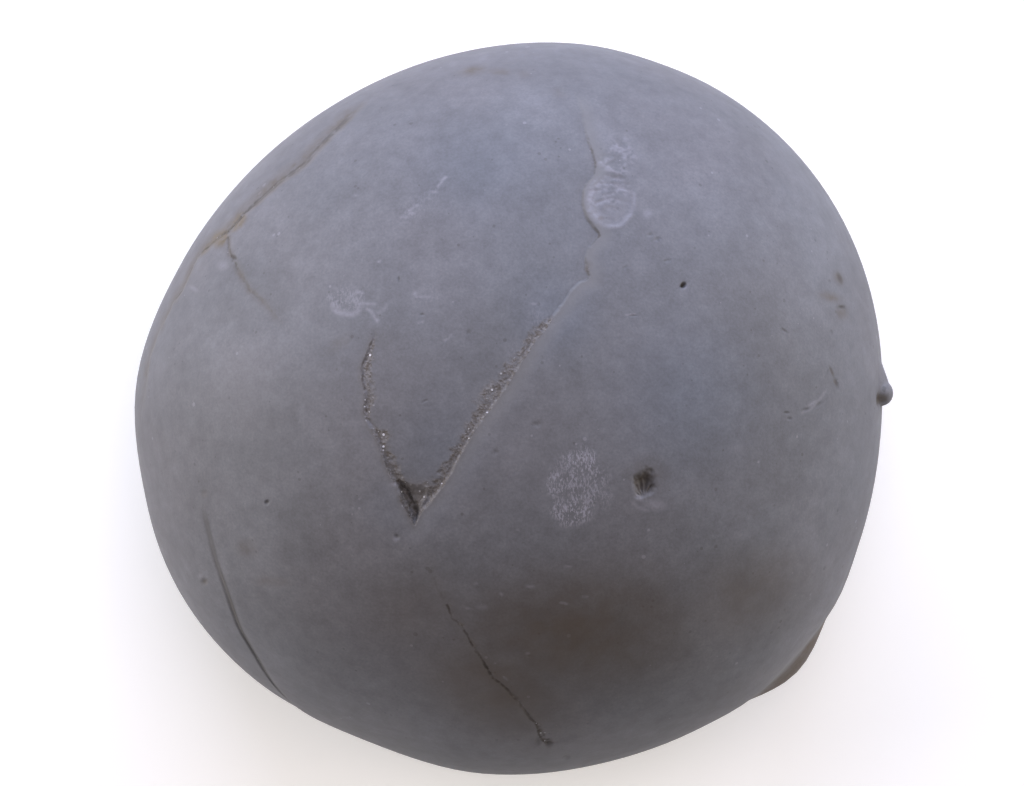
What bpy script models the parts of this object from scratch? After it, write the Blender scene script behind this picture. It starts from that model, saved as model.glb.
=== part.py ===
"""Fossil sea urchin: one worn stone, a domed test that rests on its flattened mouth side.

Blender 4.5. Lengths are in millimetres up to the last step, which turns them into Blender's metres.
+Z is up, and the origin is on the resting face, under the middle of the stone's box. Bearings are in
degrees, anticlockwise from +X as seen from above. A plan point is the (x, y) of a place on the dome,
from the middle of the plan.
"""

import math

import bmesh
import bpy
import numpy as np
from mathutils import Vector, noise

MM = 0.001

# The smooth form: a rounded plan, a full dome over the widest level, and a tighter curve under it.
HALF_LENGTH = 38.4
HALF_BREADTH = 38.6
PLAN_CENTRE = (-0.49, 0.13)
DOME_TOP = 49.0
WIDEST_LEVEL = 15.0
DOME_FULLNESS = 2.1
UNDER_FULLNESS = 2.7
BASE_CUT = 1.0  # how far the rounded underside would reach below the flat that it rests on

# Swells and flats of the plan: bearing, half width in degrees, how far the wall stands out.
PLAN_SWELLS = (
    (37, 63, 1.75),
    (125, 56, -1.80),
    (176, 20, 0.75),
    (207, 41, 1.30),
    (249, 18, -0.45),
    (323, 44, 1.30),
)

# Slow unevenness of the worn dome, which fades out at the widest level.
UNEVEN_SPACING = 19.0
UNEVEN_DEPTH = 0.5

# Cracks. way is a list of plan points. The width of the open crack to each side of its way, its depth,
# and how far the stone on the left of the way lies lower (minus: on the right) are given at the start,
# the middle and the end. The lower stone climbs back to the dome over the drop's reach. rounds is how
# many times the mesh is split along the crack.
CRACKS = (
    dict(  # left side of the sunken wedge, from its top down to its tip
        way=((-13.6, 8.2), (-14.1, 6.3), (-14.9, 3.7), (-14.6, 1.6), (-14.6, -0.7), (-13.9, -2.0),
             (-13.1, -3.9), (-11.8, -7.1), (-10.8, -7.5), (-11.0, -8.6), (-10.1, -10.8), (-9.5, -11.7)),
        width=(0.35, 0.7, 0.9), depth=(0.3, 0.7, 1.3), drop=(0.1, 0.5, 0.8), reach=6.0, rounds=3),
    dict(  # right side of the wedge, from its tip up to the round scar
        way=((-9.5, -11.7), (-8.0, -9.7), (-6.1, -7.2), (-4.4, -4.0), (-2.7, -1.3), (-1.1, 0.8), (0.3, 2.9),
             (2.2, 5.9), (3.9, 8.2), (5.4, 10.3), (6.8, 12.2), (8.2, 12.8), (7.8, 14.7), (8.4, 16.4), (9.7, 17.9)),
        width=(0.9, 0.6, 0.4), depth=(1.1, 0.6, 0.3), drop=(0.8, 0.7, 0.35), reach=6.0, rounds=3),
    dict(  # ledge above the round scar
        way=((8.9, 24.4), (8.7, 25.4), (7.8, 28.2), (7.0, 31.2), (6.5, 32.3)),
        width=(0.3, 0.3, 0.2), depth=(0.2, 0.2, 0.0), drop=(0.35, 0.6, 0.1), reach=6.0, rounds=2),
    dict(  # crack from the wedge's tip down to the front
        way=((-9.4, -11.9), (-8.4, -14.5), (-7.6, -17.2), (-6.5, -19.4), (-5.4, -21.3), (-4.0, -23.5),
             (-2.5, -26.1), (-0.5, -28.4), (1.2, -30.6), (2.6, -32.3), (3.9, -34.7)),
        width=(0.3, 0.35, 0.45), depth=(0.25, 0.4, 0.6), drop=(0.1, 0.3, 0.15), reach=4.0, rounds=2),
    dict(  # crack across the back left shoulder
        way=((-14.8, 32.1), (-16.1, 30.3), (-18.6, 27.6), (-21.2, 24.7), (-23.6, 23.1), (-26.5, 20.7),
             (-28.7, 18.3), (-30.4, 17.2)),
        width=(0.2, 0.4, 0.6), depth=(0.2, 0.35, 0.6), drop=(-0.2, -0.5, -0.6), reach=4.0, rounds=2),
    dict(  # spalled left shoulder: the wall outside this line lies lower
        way=((-30.4, 17.2), (-32.1, 15.9), (-33.0, 14.2), (-33.7, 12.5), (-34.9, 11.0), (-36.3, 8.2),
             (-37.2, 5.7), (-37.7, 2.8), (-38.1, -0.3), (-38.3, -3.4)),
        width=(0.5, 0.3, 0.2), depth=(0.6, 0.3, 0.0), drop=(-0.6, -0.8, -0.1), reach=5.0, rounds=2),
    dict(  # short crack running in from the shoulder
        way=((-28.8, 17.7), (-28.1, 15.2), (-26.3, 12.0), (-24.2, 10.3), (-22.4, 7.9)),
        width=(0.5, 0.3, 0.2), depth=(0.6, 0.3, 0.0), drop=(-0.1, -0.15, 0.0), reach=3.0, rounds=2),
    dict(  # smooth furrow down the front left
        way=((-31.1, -10.0), (-30.7, -11.7), (-30.1, -14.5), (-29.2, -17.3), (-28.3, -20.2), (-27.3, -23.0),
             (-26.2, -25.5), (-24.9, -28.0), (-22.9, -30.2), (-21.8, -31.3)),
        width=(0.25, 0.5, 0.7), depth=(0.1, 0.3, 0.5), drop=(-0.1, -0.3, -0.3), reach=4.0, rounds=2),
)

# Round marks on the dome: plan point, radius, depth (minus: stands up), rim height.
ROUND_MARKS = (
    (10.2, 20.9, 2.9, 0.45, 0.25),  # round scar
    (13.5, -7.4, 1.5, 1.2, 0.15),  # torn pit
    (-28.1, 15.2, 0.8, 0.9, 0.0),
    (17.4, 12.3, 0.45, 0.4, 0.1),
)

# Shares of a crack's width that its trench spreads over, and of its length that its ends run out over.
TRENCH_SPREAD = 1.4
TRENCH_TAPER = 0.03
DROP_TAPER = 0.08
# Shares of a round mark's radius: its flat floor, where its rim stands, how far the rim spreads.
MARK_FLOOR = 0.5
RIM_PLACE = 1.1
RIM_SPREAD = 0.35

# Knob on the wall, and the low lump under the widest level: bearing, level, half size along the wall,
# half size up the wall, how far each stands out.
KNOB = (1.5, 17.0, 1.6, 1.7, 1.25)
KNOB_SHOULDER = (4.3, 17.5, 2.6, 2.4, 0.45)
LOW_LUMP = (317.5, 9.5, 9.5, 8.0, 2.1)

# The mouth's hollow on the flat underside, and the vent's at its narrow end: centre, half sizes, depth.
MOUTH = (-17.0, 0.0, 0.0, 3.2, 4.4, 2.4)
VENT = (33.0, -2.0, 3.4, 2.6, 2.2, 1.6)

# The ball's subdivisions, and how near to relief each further round of splitting reaches.
BALL_SUBDIVISIONS = 5
RELIEF_REACH = (2.2, 0.8, 0.45)
WAY_STEP = 0.5  # spacing of the points that a crack's way is read at
RING_SHARES = (0.0, 0.6, 1.1)  # rings of a round mark's radius that the mesh is made finer around
RING_PLACES = 8
KNOB_TURNS = (-1.5, 0, 1.5, 3, 4.5)  # bearings past the knob's that the mesh is made finer around

STONE_COLOUR = (0.13, 0.13, 0.145, 1.0)
STONE_ROUGHNESS = 0.5


def plan_radius(bearing):
    """Distance of the wall from the middle at the widest level, for bearings in radians."""
    oval = HALF_LENGTH * HALF_BREADTH / np.hypot(HALF_BREADTH * np.cos(bearing), HALF_LENGTH * np.sin(bearing))
    for centre, half_width, rise in PLAN_SWELLS:
        off = (np.degrees(bearing) - centre + 180) % 360 - 180
        oval = oval + rise * np.cos(np.clip(off / half_width, -1, 1) * math.pi / 2) ** 2
    return oval


def form(ball):
    """Points of the smooth form for unit vectors: the ball's latitude becomes the level."""
    bearing = np.arctan2(ball[:, 1], ball[:, 0])
    rise = np.abs(ball[:, 2])
    run = np.sqrt(np.clip(1 - rise**2, 0, 1))
    above = ball[:, 2] >= 0
    power = np.where(above, 2 / DOME_FULLNESS, 2 / UNDER_FULLNESS)
    out = plan_radius(bearing) * run**power
    height = np.where(above, DOME_TOP - WIDEST_LEVEL, -(WIDEST_LEVEL + BASE_CUT))
    level = WIDEST_LEVEL + height * rise**power
    return np.column_stack((PLAN_CENTRE[0] + out * np.cos(bearing), PLAN_CENTRE[1] + out * np.sin(bearing), level))


def on_dome(plan_points):
    """Points of the dome above plan points."""
    plan = np.array(plan_points, dtype=float).reshape(-1, 2)
    share = np.clip(np.hypot(plan[:, 0], plan[:, 1]) / plan_radius(np.arctan2(plan[:, 1], plan[:, 0])), 0, 1)
    level = WIDEST_LEVEL + (DOME_TOP - WIDEST_LEVEL) * (1 - share**DOME_FULLNESS) ** (1 / DOME_FULLNESS)
    return np.column_stack((plan + PLAN_CENTRE, level))


def on_wall(bearing, level):
    """The point of the wall at a bearing in degrees and a level, below the widest one or above it."""
    turn = math.radians(bearing)
    if level > WIDEST_LEVEL:
        share, fullness = (level - WIDEST_LEVEL) / (DOME_TOP - WIDEST_LEVEL), DOME_FULLNESS
    else:
        share, fullness = (WIDEST_LEVEL - level) / (WIDEST_LEVEL + BASE_CUT), UNDER_FULLNESS
    out = float(plan_radius(np.array([turn]))[0]) * (1 - share**fullness) ** (1 / fullness)
    return np.array((PLAN_CENTRE[0] + out * math.cos(turn), PLAN_CENTRE[1] + out * math.sin(turn), level))


def smooth_way(plan_points):
    """A crack's way on the dome: a smooth curve through its plan points, with how far along each point is."""
    corners = np.array(plan_points, dtype=float)
    corners = np.vstack((2 * corners[0] - corners[1], corners, 2 * corners[-1] - corners[-2]))
    read = []
    for before, start, end, after in zip(corners, corners[1:], corners[2:], corners[3:]):
        steps = max(2, round(math.dist(start, end) / WAY_STEP))
        for t in np.arange(steps) / steps:
            read.append(0.5 * (2 * start + (end - before) * t + (2 * before - 5 * start + 4 * end - after) * t**2
                               + (3 * start - before - 3 * end + after) * t**3))
    way = on_dome(read + [corners[-2]])
    travel = np.concatenate(([0.0], np.cumsum(np.linalg.norm(np.diff(way, axis=0), axis=1))))
    return way, travel / travel[-1]


def beside(way, share, points, normals):
    """For each point: its distance from the way (plus: on the left), and the share of the way covered there."""
    nearest = np.full(len(points), np.inf)
    side = np.ones(len(points))
    covered = np.zeros(len(points))
    for start, end, share_start, share_end in zip(way, way[1:], share, share[1:]):
        run = end - start
        t = np.clip((points - start) @ run / (run @ run), 0, 1)
        gap = points - start - t[:, None] * run
        distance = np.linalg.norm(gap, axis=1)
        closer = distance < nearest
        nearest[closer] = distance[closer]
        covered[closer] = (share_start + t * (share_end - share_start))[closer]
        turn = np.einsum("ij,ij->i", np.cross(run, gap), normals)
        side[closer] = np.where(turn >= 0, 1.0, -1.0)[closer]
    return nearest * side, covered


def ease(value):
    """0 to 1 with soft ends."""
    value = np.clip(value, 0, 1)
    return value * value * (3 - 2 * value)


def bump(points, centre, sizes):
    """1 at the centre, falling softly to 0 at the given half sizes in X, Y and Z."""
    return 1 - ease(np.linalg.norm((points - centre) / sizes, axis=1))


def crack_depth(crack, points, normals):
    """How far a crack, with the lower stone beside it, lies under the dome. It opens on its low side."""
    way, share = smooth_way(crack["way"])
    offset, covered = beside(way, share, points, normals)
    stations = (0.0, 0.5, 1.0)
    width = np.interp(covered, stations, crack["width"])
    depth = np.interp(covered, stations, crack["depth"])
    drop = np.interp(covered, stations, crack["drop"])
    low = np.sign(crack["drop"][1])
    trench = depth * (1 - ease(np.abs(offset - low * width) / (TRENCH_SPREAD * width)))
    fall = np.abs(drop) * ease(low * offset / width) * (1 - ease(low * offset / crack["reach"]))
    to_end = np.minimum(covered, 1 - covered)
    return trench * ease(to_end / TRENCH_TAPER) + fall * ease(to_end / DROP_TAPER)


def relief(points, normals):
    """How far each point of the smooth form sinks along its normal."""
    sunk = np.zeros(len(points))
    for crack in CRACKS:
        sunk = np.maximum(sunk, crack_depth(crack, points, normals))
    for x, y, radius, depth, rim in ROUND_MARKS:
        away = np.linalg.norm(points - on_dome((x, y)), axis=1) / radius
        floor = 1 - ease((away - MARK_FLOOR) / (1 - MARK_FLOOR))
        sunk += depth * floor - rim * (1 - ease(np.abs(away - RIM_PLACE) / RIM_SPREAD))
    for bearing, level, along, up, stand in (KNOB, KNOB_SHOULDER, LOW_LUMP):
        sunk -= stand * bump(points, on_wall(bearing, level), (along, along, up))
    for x, y, level, half_x, half_y, depth in (MOUTH, VENT):
        sunk += depth * bump(points, (x, y, level), (half_x, half_y, max(half_x, half_y)))
    return sunk


def relief_places(rounds):
    """Points of the smooth form that the mesh is split around at least so many times."""
    places = [smooth_way(crack["way"])[0][::2] for crack in CRACKS if crack["rounds"] >= rounds]
    if rounds <= 2:
        turns = np.linspace(0, math.tau, RING_PLACES, endpoint=False)
        for x, y, radius, _, _ in ROUND_MARKS:
            reaches = [share * radius for share in RING_SHARES]
            places.append(on_dome([(x + out * math.cos(t), y + out * math.sin(t)) for out in reaches for t in turns]))
        places.append(np.array([on_wall(KNOB[0] + turn, KNOB[1]) for turn in KNOB_TURNS]))
    if rounds == 1:
        for x, y, level, half_x, half_y, _ in (MOUTH, VENT):
            places.append(np.array([(x + half_x * math.cos(t), y + half_y * math.sin(t), level) for t in turns]))
    return np.vstack(places)


def read_points(mesh):
    return np.array([vert.co for vert in mesh.verts])


def refine(mesh, places, reach):
    """Splits the edges whose ends lie within reach of the places, on the unit ball."""
    points = form(read_points(mesh))
    nearest = np.full(len(points), np.inf)
    for place in places:
        nearest = np.minimum(nearest, np.linalg.norm(points - place, axis=1))
    mesh.verts.index_update()
    edges = [edge for edge in mesh.edges if min(nearest[vert.index] for vert in edge.verts) < reach]
    bmesh.ops.subdivide_edges(mesh, edges=edges, cuts=1, use_grid_fill=True)
    bmesh.ops.triangulate(mesh, faces=mesh.faces[:])
    for vert in mesh.verts:
        vert.co.normalize()


def place(mesh, points):
    for vert, point in zip(mesh.verts, points):
        vert.co = point
    mesh.normal_update()


def unevenness(points):
    """The worn dome's slow swells and dips, none at the widest level and below."""
    height = ease((points[:, 2] - WIDEST_LEVEL) / (DOME_TOP - WIDEST_LEVEL))
    swell = np.array([noise.noise(Vector(point) / UNEVEN_SPACING) for point in points])
    return UNEVEN_DEPTH * height * swell


def make_stone():
    """The whole fossil as one closed mesh, in metres."""
    mesh = bmesh.new()
    bmesh.ops.create_icosphere(mesh, subdivisions=BALL_SUBDIVISIONS, radius=1)
    for rounds, reach in enumerate(RELIEF_REACH, start=1):
        refine(mesh, relief_places(rounds), reach)
    place(mesh, form(read_points(mesh)))
    points = read_points(mesh)
    normals = np.array([vert.normal for vert in mesh.verts])
    worn = points + normals * (unevenness(points) - relief(points, normals))[:, None]
    resting = points[:, 2] < 0
    worn[resting, 2] += -points[resting, 2]
    worn[:, 2] = np.maximum(worn[:, 2], 0)
    place(mesh, worn * MM)
    return mesh


def stone_material():
    material = bpy.data.materials.new("worn_grey_stone")
    material.use_nodes = True
    shader = material.node_tree.nodes["Principled BSDF"]
    shader.inputs["Base Color"].default_value = STONE_COLOUR
    shader.inputs["Roughness"].default_value = STONE_ROUGHNESS
    shader.inputs["Metallic"].default_value = 0.0
    material.diffuse_color = STONE_COLOUR
    return material


def main():
    for old in list(bpy.data.objects):
        bpy.data.objects.remove(old, do_unlink=True)
    mesh = make_stone()
    stone_mesh = bpy.data.meshes.new("fossil_urchin")
    mesh.to_mesh(stone_mesh)
    mesh.free()
    stone_mesh.shade_smooth()
    stone_mesh.materials.append(stone_material())
    stone = bpy.data.objects.new("fossil_urchin", stone_mesh)
    bpy.context.scene.collection.objects.link(stone)


main()
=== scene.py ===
"""Fossil sea urchin: the finished stone with its cracks, marks and colours, a pale floor, light, camera.

Lengths are in millimetres until a mesh is made, when they become Blender's metres. Bearings are in
degrees, anticlockwise from +X as seen from above. A plan point is the (x, y) of a place on the dome, from
the middle of the plan.
"""

import math

import bmesh
import bpy
import numpy as np
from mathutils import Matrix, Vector, kdtree, noise


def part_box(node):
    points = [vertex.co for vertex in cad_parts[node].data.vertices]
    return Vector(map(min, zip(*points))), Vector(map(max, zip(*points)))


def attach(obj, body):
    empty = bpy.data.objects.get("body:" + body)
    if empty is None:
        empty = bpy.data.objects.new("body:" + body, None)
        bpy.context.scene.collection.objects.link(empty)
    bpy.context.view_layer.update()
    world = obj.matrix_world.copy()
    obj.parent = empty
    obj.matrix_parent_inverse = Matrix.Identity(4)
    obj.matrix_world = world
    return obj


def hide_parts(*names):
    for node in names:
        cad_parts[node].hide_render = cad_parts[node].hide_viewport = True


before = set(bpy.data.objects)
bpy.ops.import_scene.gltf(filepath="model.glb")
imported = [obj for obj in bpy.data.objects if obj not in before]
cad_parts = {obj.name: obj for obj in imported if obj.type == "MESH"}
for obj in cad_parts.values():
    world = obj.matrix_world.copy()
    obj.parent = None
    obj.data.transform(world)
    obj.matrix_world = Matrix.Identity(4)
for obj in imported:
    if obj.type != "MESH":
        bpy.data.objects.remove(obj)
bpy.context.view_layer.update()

NODE = "fossil_urchin"
MM = 0.001

# The smooth form, with the solid's own values. The last four swells of the plan are small ones of its own.
HALF_LENGTH = 38.4
HALF_BREADTH = 38.6
PLAN_CENTRE = (-0.49, 0.13)
DOME_TOP = 49.0
WIDEST_LEVEL = 15.0
DOME_FULLNESS = 2.1
UNDER_FULLNESS = 2.7
BASE_CUT = 1.0
PLAN_SWELLS = (  # bearing, half width in degrees, how far it stands out
    (37, 63, 1.75), (125, 56, -1.8), (176, 20, 0.75), (207, 41, 1.3), (249, 18, -0.45), (323, 44, 1.3),
    (310, 10, 0.22), (329, 10, 0.28), (68, 12, -0.12), (146, 16, -0.07),
)
UNEVEN_SPACING = 19.0
UNEVEN_DEPTH = 0.5

# The cracks' ways: (x, y, band, dark) plan points, where band is how broad the broken stone is on the low
# side and dark how dark the crack's line of dirt and painted shade is.
WEDGE_WAY = (
    (-13.6, 8.2, 0.2, 0), (-13.8, 7.2, 0.6, 0.1), (-14.1, 6.3, 0.8, 0.2), (-14.6, 5, 1.1, 0.3),
    (-14.9, 3.7, 1.3, 0.4), (-14.8, 2.7, 1.2, 0.4), (-14.6, 1.6, 1.3, 0.2), (-14.6, 0.3, 1.2, 0.2),
    (-14.6, -0.7, 1, 0.1), (-14.2, -1.4, 0.4, 0), (-13.9, -2, 0.4, 0.1), (-13.3, -3, 1.6, 0.3),
    (-13.1, -3.9, 1.2, 0.8), (-12.5, -5.5, 1.5, 0.8), (-11.9, -7, 1.6, 0.4), (-11.3, -7.7, 1.2, 0.1),
    (-11, -8.6, 1.4, 0.5), (-10.7, -9.8, 1.6, 0.6), (-10.1, -10.8, 1.2, 0.8), (-9.5, -11.8, 0.4, 0.6),
    (-8.9, -10.7, 1.1, 0.1), (-8, -9.7, 1.7, 0.2), (-7.1, -8.5, 1.7, 0.2), (-6.1, -7.2, 1.5, 0.1),
    (-5.1, -5.3, 1.3, 0), (-4.4, -4, 1.1, 0.3), (-3.6, -2.6, 1.3, 0.5), (-2.7, -1.3, 1.5, 0.1),
    (-1.9, -0.3, 1.7, 0), (-1.1, 0.8, 1.9, 0), (-0.4, 1.8, 1.7, 0), (0.3, 2.9, 1.5, 0.1),
    (1.3, 4.5, 1.3, 0.1), (2.2, 5.9, 1.4, 0.1), (3, 7, 1.4, 0), (3.9, 8.2, 0.9, 0), (4.6, 9.2, 0.4, 0),
    (5.4, 10.3, 0.3, 0), (6.8, 12.2, 0.3, 0.1), (8, 12.8, 0.4, 0.3), (8, 13.7, 0.4, 0.2),
    (7.8, 14.7, 0.4, 0.2), (7.9, 15.7, 0.3, 0), (8.4, 16.4, 0.3, 0.2), (9.2, 17.4, 0.4, 0.5),
    (8.7, 18.2, 0.2, 0.3), (7.9, 19.2, 0.2, 0.1), (7.5, 20.9, 0.2, 0.1), (7.8, 22.4, 0.2, 0.1),
    (8.6, 23.5, 0.3, 0.2), (8.9, 24.4, 0.4, 0.5), (8.7, 25.4, 0.4, 0.3), (8.3, 26.5, 0.4, 0.1),
    (7.8, 28.2, 0.3, 0), (7.5, 29.9, 0.3, 0), (7, 31.2, 0.2, 0), (6.5, 32.3, 0.2, 0),
)
FRONT_WAY = (
    (-9.4, -11.9, 0.2, 0), (-8.4, -14.5, 0.2, 0), (-7.6, -17.2, 0.2, 0.1), (-6.8, -18.7, 0.3, 0.2),
    (-6.5, -19.4, 0.3, 0.6), (-6.1, -20.1, 0.4, 0.8), (-5.8, -21, 0.3, 0.2), (-5, -21.7, 0.4, 0.8),
    (-4.4, -22.7, 0.3, 0.5), (-4, -23.5, 0.4, 0.8), (-3.2, -24.9, 0.4, 0.4), (-2.5, -26.1, 0.4, 0.9),
    (-1.8, -27.3, 0.4, 0.8), (-0.5, -28.4, 0.3, 0.7), (0.4, -29.5, 0.4, 0.4), (1.2, -30.6, 0.4, 0.7),
    (1.9, -31.6, 0.3, 0.5), (2.6, -32.3, 0.5, 0.8), (3, -33.7, 0.9, 0.7), (3.9, -34.7, 0.8, 0.4),
)
SHOULDER_WAY = (
    (-14.8, 32.1, 0.2, 0), (-16.1, 30.3, 0.2, 0.1), (-17.4, 28.8, 0.3, 0.45), (-18.6, 27.6, 0.3, 0.4),
    (-20, 26, 0.3, 0.2), (-21.2, 24.7, 0.4, 0.4), (-23.6, 23.1, 0.4, 0.3), (-25.6, 21.4, 0.4, 0.3),
    (-26.5, 20.7, 0.4, 0.6), (-27.4, 19.8, 0.9, 0.8), (-28.1, 19, 1, 0.7), (-28.7, 18.3, 0.8, 0.5),
    (-30.4, 17.2, 0.8, 0.3), (-31.2, 16.5, 0.6, 0.4), (-32.1, 15.9, 0.4, 0.6), (-32.7, 14.9, 0.4, 0.6),
    (-33, 14.2, 0.4, 0.5), (-33.4, 13.2, 0.4, 0.5), (-33.7, 12.5, 0.5, 0.7), (-34.2, 11.7, 0.7, 0.8),
    (-34.9, 11, 0.5, 0.4), (-35.4, 9.8, 0.3, 0.3), (-36.3, 8.2, 0.3, 0.2), (-36.9, 6.6, 0.2, 0.1),
    (-37.5, 4.9, 0.2, 0), (-37.7, 2.8, 0.2, 0), (-38.1, -0.3, 0.2, 0), (-38.3, -3.4, 0.2, 0),
)
SHORT_WAY = (
    (-28.8, 17.7, 0.4, 0.3), (-28.7, 16.8, 0.4, 0.3), (-28.6, 16.1, 0.4, 0.4), (-28.1, 15.2, 0.4, 0.5),
    (-27.5, 14, 0.3, 0.2), (-26.8, 12.9, 0.3, 0.15), (-26.2, 12, 0.3, 0.2), (-25.1, 11, 0.2, 0.12),
    (-24, 9.9, 0.2, 0.2), (-23.4, 9.1, 0.2, 0.1), (-22.4, 7.9, 0.2, 0),
)
FURROW_WAY = (
    (-31, -9.6, 0.3, 0.2), (-30.9, -10.8, 0.3, 0.3), (-30.6, -12.3, 0.3, 0.35), (-30.2, -14, 0.3, 0.4),
    (-29.8, -15.7, 0.3, 0.5), (-29.4, -16.9, 0.4, 0.5), (-28.7, -19, 0.4, 0.6), (-28.1, -21, 0.5, 0.7),
    (-27.5, -22.8, 0.5, 0.75), (-26.7, -24.4, 0.5, 0.8), (-25.8, -26.1, 0.6, 0.8),
    (-24.9, -27.9, 0.7, 0.8), (-23.8, -29.6, 0.7, 0.8), (-22.6, -31, 0.7, 0.7),
)

# The cracks. The low side is left of the way where low is 1 and right of it where low is -1. down holds
# (bearing, level, band, dark) points on down the wall. A list of values is read evenly along the way:
# drop is how far the low stone lies under the high stone, dig how much deeper the broken band goes, fall
# how far the worn high edge is rounded off, worn how much paler that edge is painted, partly as wear and
# partly as a painted highlight, and stained how brown the sides are, over smear on the high and the low
# side. The low stone climbs back to the dome over reach.
# line is half the breadth of the dark line of dirt and painted shade, wall the breadth of the steep side,
# rim that of the worn edge, run_out how far the crack takes to fade in and out, jag how far its edge
# wanders and splits how many rounds of splitting follow it.
CRACKS = (
    dict(  # down the left of the sunken wedge to its tip, up its right, round the scar and along the ledge
        way=WEDGE_WAY,
        low=1, drop=(0.1, 0.3, 0.4, 0.3, 0.3, 0.35, 0.35, 0.05),
        dig=(0.08, 0.1, 0.2, 0.05, 0.03, 0, 0.05, 0),
        fall=(0.04, 0.08, 0.1, 0.12, 0.12, 0.1, 0.12, 0.02), worn=(0.1, 0.2, 0.4, 0.8, 0.9, 0.9, 1, 0.6),
        stained=(0.25, 0.35, 0.45, 0.15, 0.05, 0.15, 0.2, 0), smear=(0.4, 0.9), line=0.1, wall=0.35,
        rim=1.9, reach=6.5, run_out=(2, 3), jag=0.1, splits=4),
    dict(  # from the wedge's tip down to the front
        way=FRONT_WAY,
        low=1, drop=(0, 0.03, 0.08, 0.12, 0.08), dig=(0, 0.01, 0.04, 0.06, 0.08),
        fall=(0.01, 0.02, 0.03, 0.04, 0.03), worn=(0.1, 0.2, 0.5, 0.6, 0.2),
        stained=(0.1, 0.15, 0.2, 0.25, 0.4), smear=(0.2, 0.7), line=0.12, wall=0.18, rim=0.8,
        reach=4, run_out=(6, 0.6), jag=0.14, splits=4),
    dict(  # across the back left shoulder, then down its spalled side, outside which the wall lies lower
        way=SHOULDER_WAY,
        low=-1, drop=(0.03, 0.1, 0.14, 0.32, 0.5, 0.45, 0.1), dig=(0, 0.05, 0.05, 0.2, 0.1, 0, 0),
        fall=(0.03, 0.1, 0.12, 0.12, 0.15, 0.12, 0.02), worn=(0.1, 0.4, 0.5, 0.6, 0.7, 0.4, 0.1),
        stained=(0.8, 1, 1, 1, 1, 1, 0.4), smear=(1.4, 2.4), line=0.45, wall=0.35, rim=1.2,
        reach=5, run_out=(3, 8), jag=0.1, splits=3),
    dict(  # short crack running in from the shoulder
        way=SHORT_WAY,
        low=-1, drop=(0.12, 0.08, 0.05, 0), dig=(0.1, 0.05, 0.02, 0), fall=(0.04, 0.04, 0.02, 0),
        worn=(0.2, 0.2, 0.1, 0), stained=(0.8, 0.7, 0.6, 0.3), smear=(0.4, 0.6), line=0.2,
        wall=0.25, rim=0.7, reach=3, run_out=(0.3, 3), jag=0.12, splits=4),
    dict(  # smooth furrow down the front left, and on down the wall
        way=FURROW_WAY,
        down=((237.5, 17.5, 0.6, 0.5), (241, 15, 0.5, 0.3), (245, 12, 0.4, 0)),
        low=-1, drop=(0.02, 0.14, 0.26, 0.3, 0.05), dig=(0, 0.08, 0.17, 0.22, 0.02),
        fall=(0.01, 0.03, 0.05, 0.05, 0), worn=(0, 0.1, 0.2, 0.2, 0),
        stained=(0.1, 0.2, 0.3, 0.4, 0.2), smear=(0.5, 1.2), line=0.5, wall=0.8, rim=0.9,
        reach=4.5, run_out=(2.5, 5), jag=0, splits=3),
)
JAG_SIZES = (0.9, 0.35)
BAND_RAGGED = (0.5, 0.7)  # share by which the band's breadth changes along it, and the size of the swells
DIG_RAGGED = (0.6, 1.1)
SMEAR_SIZE = 1.6  # size of the swells in the brown beside a crack
LINE_SIZE = 0.6  # size of the pieces that the dark line is broken into
GRIT_DEPTH = 0.05
GRIT_SIZES = (0.45, 0.22)
WAY_STEP = 0.5
MARGIN = 1.6  # a crack is worked out as far as this many times its reach
PLATE_SPREAD = 0.45
PLATE_FIRMNESS = 2
TIE = 1e-6

# The three-cornered hollow at the wedge's tip: its corners, how deep it is on its left and on its right,
# how far its top, right and left sides take to go down, how far from its left side it starts to be less
# deep and over how much, how far its sides wander, and the half sizes of the patch that is split finely.
TIP_CORNERS = ((-12.2, -5.9), (-7, -6.9), (-9.4, -12.2))
TIP_DEPTHS = (1.2, 0.7)
TIP_EDGES = (2.4, 0.8, 0.35)
TIP_LEFT = (0.5, 0.9)
TIP_WANDER = 0.12
TIP_HALF = (1.4, 2)

# The round scar: centre, half sizes, how far it is sunk, how rough it is, how far its lip stands up, and
# the lip's two stretches: bearing, half length and how far each takes to fade out, in degrees.
SCAR = (10.2, 20.9)
SCAR_HALF = (2.7, 3.05)
SCAR_SUNK = 0.16
SCAR_ROUGH = 0.09
SCAR_LIP = 0.12
LIP_RIGHT = (-40, 45, 30)
LIP_LEFT = (190, 45, 35)
ROUGH_PATCH = (11, 25.2, 2.6, 2.6)  # rough stone over the scar: centre and half sizes
ROUGH_PATCH_DEPTH = 0.09
ROUGH_PATCH_SIZES = (0.9, 0.35)

# The torn pit: centre, half sizes, depth, where its threads run together, how many degrees there are from
# one thread to the next, and the pale lip.
TORN_PIT = (13.45, -7.6)
TORN_HALF = (1.5, 1.75)
TORN_DEPTH = 0.6
TORN_END = (13.5, -9)
TORN_FAN = 24
TORN_LIP = (14.6, -9.7, 1.9, 1, 355)
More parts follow.
